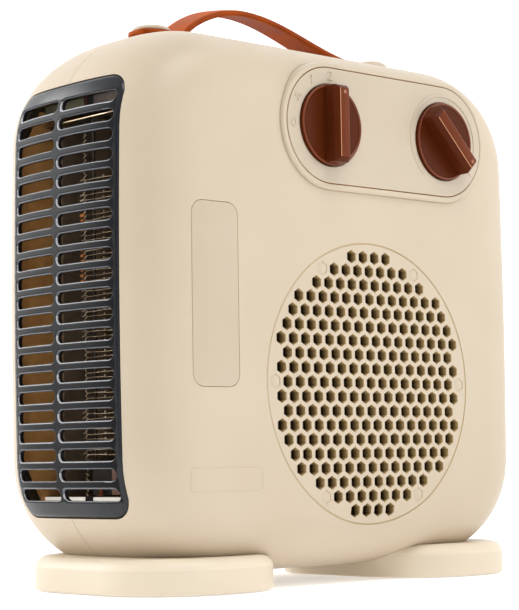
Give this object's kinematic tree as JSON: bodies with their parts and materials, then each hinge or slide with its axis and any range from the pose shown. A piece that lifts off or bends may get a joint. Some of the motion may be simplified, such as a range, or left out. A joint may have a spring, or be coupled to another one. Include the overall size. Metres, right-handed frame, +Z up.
{
  "type": "portable fan heater",
  "caption": "Upright rounded-square fan heater with a round hexagon-hole intake on the large face, two turning knobs, a side outlet grille, a strap handle and two feet.",
  "frame": {"origin": "bottom centre of the whole heater's box, on the surface that the feet's pads stand on", "axes": "+Z up; -Y is the way the control and intake face looks; the air outlet grille is at -X; +X is to the right of a person facing the controls"},
  "size_m": [0.2394, 0.1258, 0.2582],
  "materials": {
    "cream_plastic": "satin moulded",
    "slate_plastic": "satin moulded",
    "brown_plastic": "satin",
    "leather": "smooth vegetable-tanned",
    "rubber": "matte",
    "steel": "zinc plated",
    "brass": "plain",
    "copper_winding": "enamelled wire",
    "mica": "layered mica sheet",
    "black_plastic": "moulded",
    "white_ceramic": "matte"
  },
  "bodies": {
    "housing": {"front_shell": "cream_plastic", "rear_shell": "cream_plastic", "intake_grille": "cream_plastic", "outlet_grille": "slate_plastic", "control_panel": "cream_plastic", "label_plate": "cream_plastic", "foot_left": "cream_plastic", "foot_right": "cream_plastic", "foot_pad_left_front": "rubber", "foot_pad_left_rear": "rubber", "foot_pad_right_front": "rubber", "foot_pad_right_rear": "rubber", "foot_screw_left_front": "steel", "foot_screw_left_rear": "steel", "foot_screw_right_front": "steel", "foot_screw_right_rear": "steel", "shell_screw_upper_left": "steel", "shell_screw_upper_right": "steel", "shell_screw_lower_right": "steel", "shell_screw_lower_left": "steel", "strap": "leather", "strap_cap_left": "cream_plastic", "strap_cap_right": "cream_plastic", "strap_screw_left": "steel", "strap_screw_right": "steel", "rotary_switch": "black_plastic", "thermostat": "white_ceramic", "thermostat_blade": "brass", "fan_inlet_ring": "slate_plastic", "fan_scroll": "slate_plastic", "motor_plate": "steel", "motor_stator": "steel", "motor_coil": "copper_winding", "motor_bridge_front": "brass", "motor_bridge_rear": "brass", "mica_front_side": "mica", "mica_rear_side": "mica", "mica_middle_card": "mica", "mica_centre_card": "mica", "mica_top_plate": "mica", "mica_bottom_plate": "mica", "element_bracket_top": "steel", "element_bracket_bottom": "steel", "heating_wire_front": "steel", "heating_wire_back": "steel", "thermal_cutout": "steel", "thermal_fuse": "steel", "tilt_switch": "black_plastic", "terminal_block": "white_ceramic", "cord_inlet": "black_plastic"},
    "function_control": {"function_knob": "brown_plastic", "function_pointer": "steel", "function_spindle": "steel"},
    "thermostat_control": {"thermostat_knob": "brown_plastic", "thermostat_pointer": "steel", "thermostat_spindle": "steel"},
    "fan_rotor": {"impeller": "black_plastic", "motor_shaft": "steel", "motor_rotor": "steel"}
  },
  "joints": [
    {"name": "function_turn", "type": "hinge", "parent": "housing", "child": "function_control", "pos_m": [-0.0137, -0.0525, 0.1991], "axis": [0, -1, 0], "range_deg": [0, 84]},
    {"name": "thermostat_turn", "type": "hinge", "parent": "housing", "child": "thermostat_control", "pos_m": [0.0582, -0.0525, 0.1991], "axis": [0, -1, 0], "range_deg": [0, 270]},
    {"name": "fan_spin", "type": "hinge", "parent": "housing", "child": "fan_rotor", "pos_m": [0.0098, 0, 0.0872], "axis": [0, 1, 0], "continuous": true}
  ]
}
